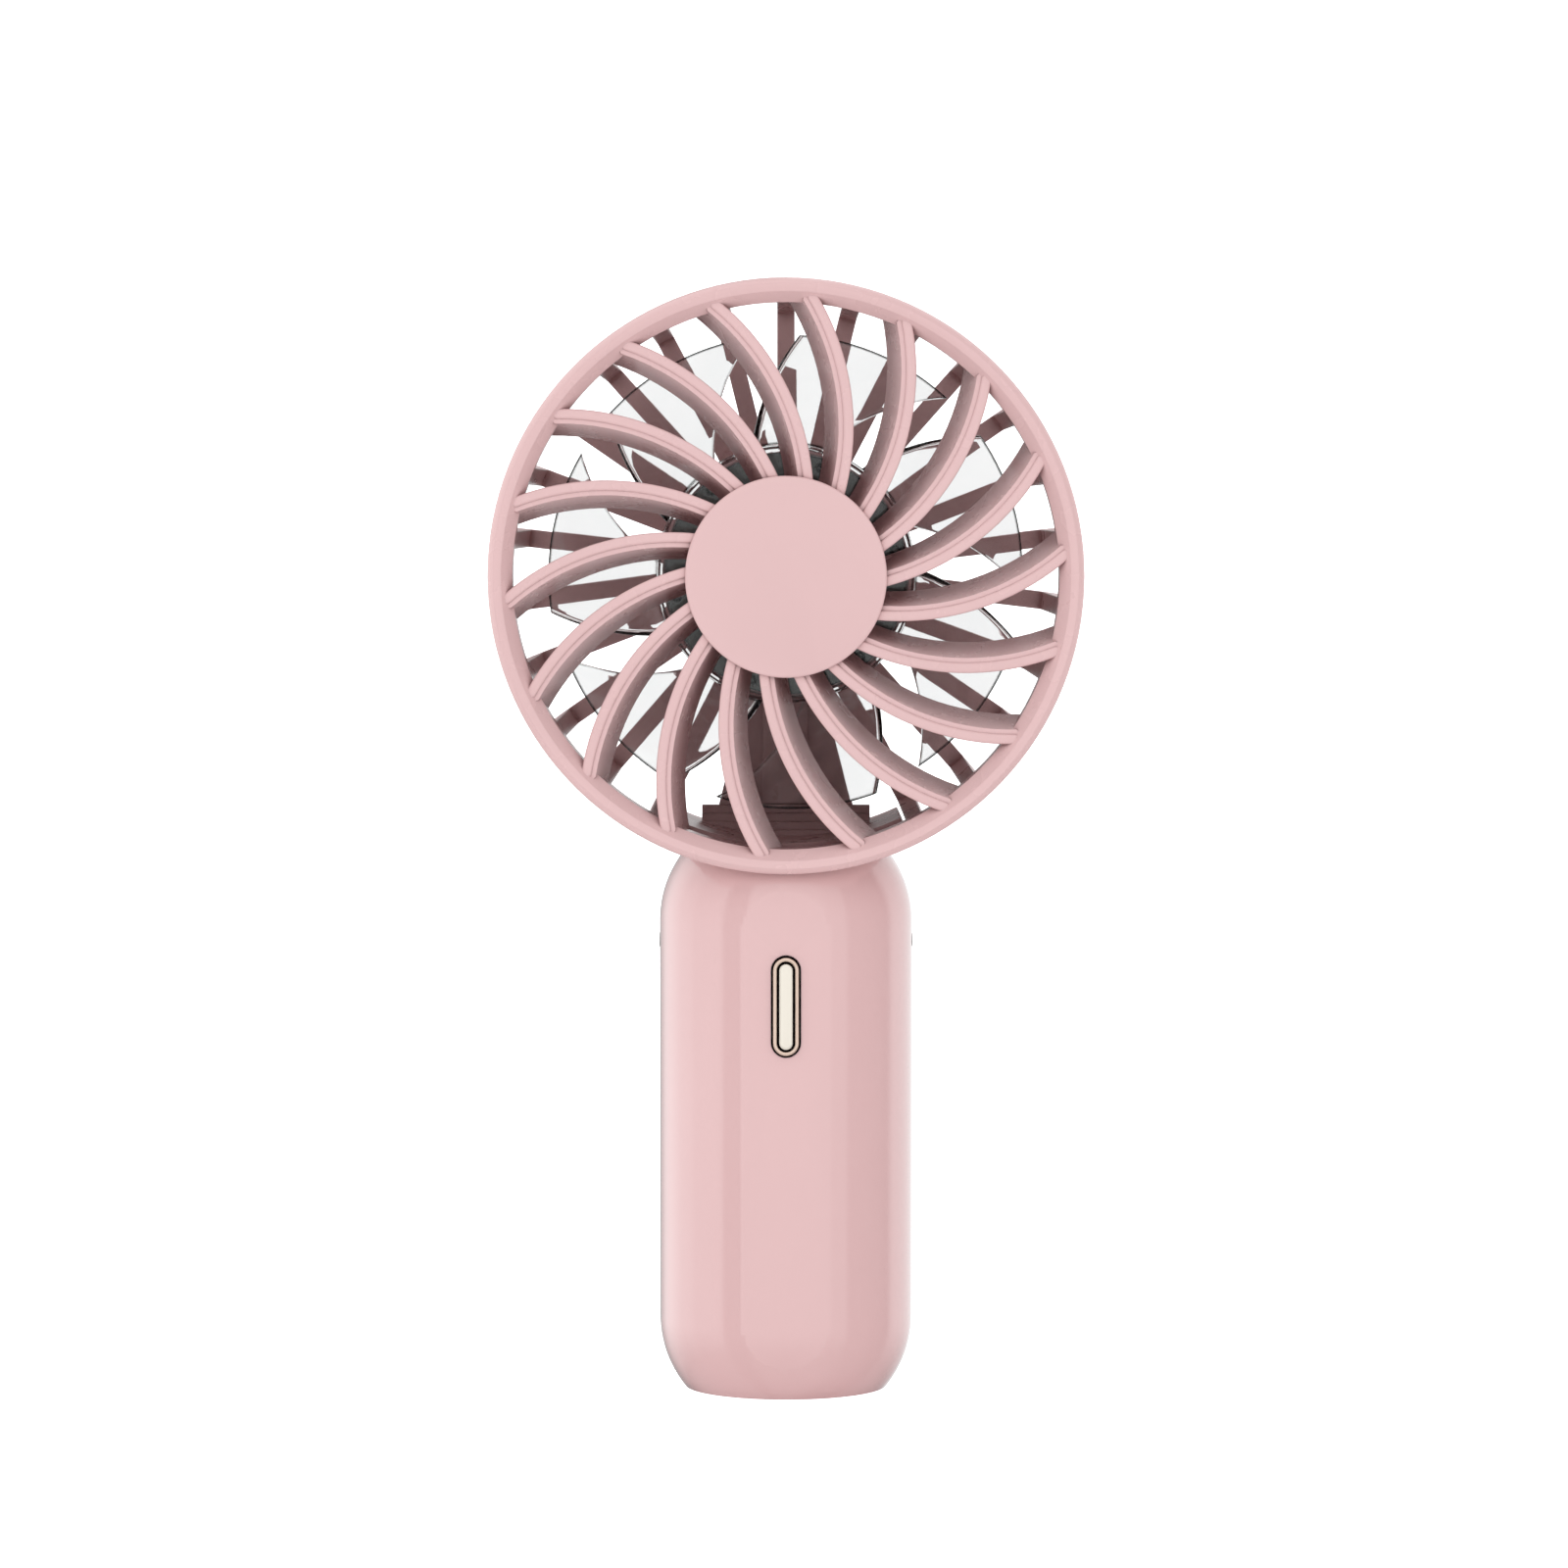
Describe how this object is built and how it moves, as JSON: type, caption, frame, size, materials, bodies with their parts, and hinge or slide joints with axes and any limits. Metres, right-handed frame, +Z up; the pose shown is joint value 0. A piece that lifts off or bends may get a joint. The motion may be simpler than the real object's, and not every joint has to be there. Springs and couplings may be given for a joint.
{
  "type": "handheld electric fan",
  "caption": "Small battery hand fan: round head with swept front vanes, clear impeller and open rear cage on a round upright handle with a pill-shaped button",
  "frame": {"origin": "centre of the handle's flat foot", "axes": "+Z up along the handle, -Y is the front that the air leaves by, +X to the right as seen from the front"},
  "size_m": [0.09, 0.0398, 0.1705],
  "materials": {
    "pink_shell": "satin",
    "pink_grille": "satin",
    "pink_cap": "satin",
    "pink_cage": "satin",
    "clear_plastic": "clear",
    "plated": "polished",
    "steel": "brushed",
    "zinc": "satin",
    "magnet": "matte",
    "bronze": "matte",
    "copper": "enamelled",
    "motor_alloy": "satin",
    "circuit": "satin",
    "chips": "matte",
    "cell_wrap": "gloss",
    "foam": "matte",
    "lead_skin": "satin",
    "black_plastic": "matte"
  },
  "bodies": {
    "housing": {"front_grille": "pink_grille", "grille_cap": "pink_cap", "rear_cage": "pink_cage", "neck_cover": "pink_cage", "rear_cap": "pink_cap", "front_bearing": "bronze", "rear_bearing": "bronze", "stator_core": "steel", "stator_windings": "copper", "motor_base": "motor_alloy", "motor_board": "circuit", "motor_screws": "zinc", "handle_front_shell": "pink_shell", "handle_rear_shell": "pink_shell", "base_plate": "pink_shell", "strap_eyelets": "zinc", "tact_switch": "black_plastic", "control_board": "circuit", "board_screws": "zinc", "board_parts": "chips", "battery_cell": "cell_wrap", "battery_tabs": "zinc", "battery_pad": "foam", "charge_board": "circuit", "usb_socket": "zinc", "motor_leads": "lead_skin", "battery_leads": "lead_skin", "charge_leads": "lead_skin", "handle_screws": "zinc", "neck_screws": "zinc"},
    "rotor": {"impeller": "clear_plastic", "rotor_can": "steel", "magnet_ring": "magnet", "motor_shaft": "steel", "shaft_clip": "steel"},
    "button": {"power_button": "plated"},
    "switch_stem": {"switch_plunger": "black_plastic"}
  },
  "joints": [
    {"name": "impeller_spin", "type": "hinge", "parent": "housing", "child": "rotor", "pos_m": [0, 0, 0.1255], "axis": [0, 1, 0], "continuous": true},
    {"name": "button_press", "type": "slide", "parent": "housing", "child": "button", "axis": [0, 1, 0], "range_m": [0, 0.0006]},
    {"name": "switch_press", "type": "slide", "parent": "housing", "child": "switch_stem", "axis": [0, 1, 0], "range_m": [0, 0.0006]}
  ],
  "couplings": [
    {"joint": "switch_press", "follows": "button_press", "ratio": 1}
  ]
}
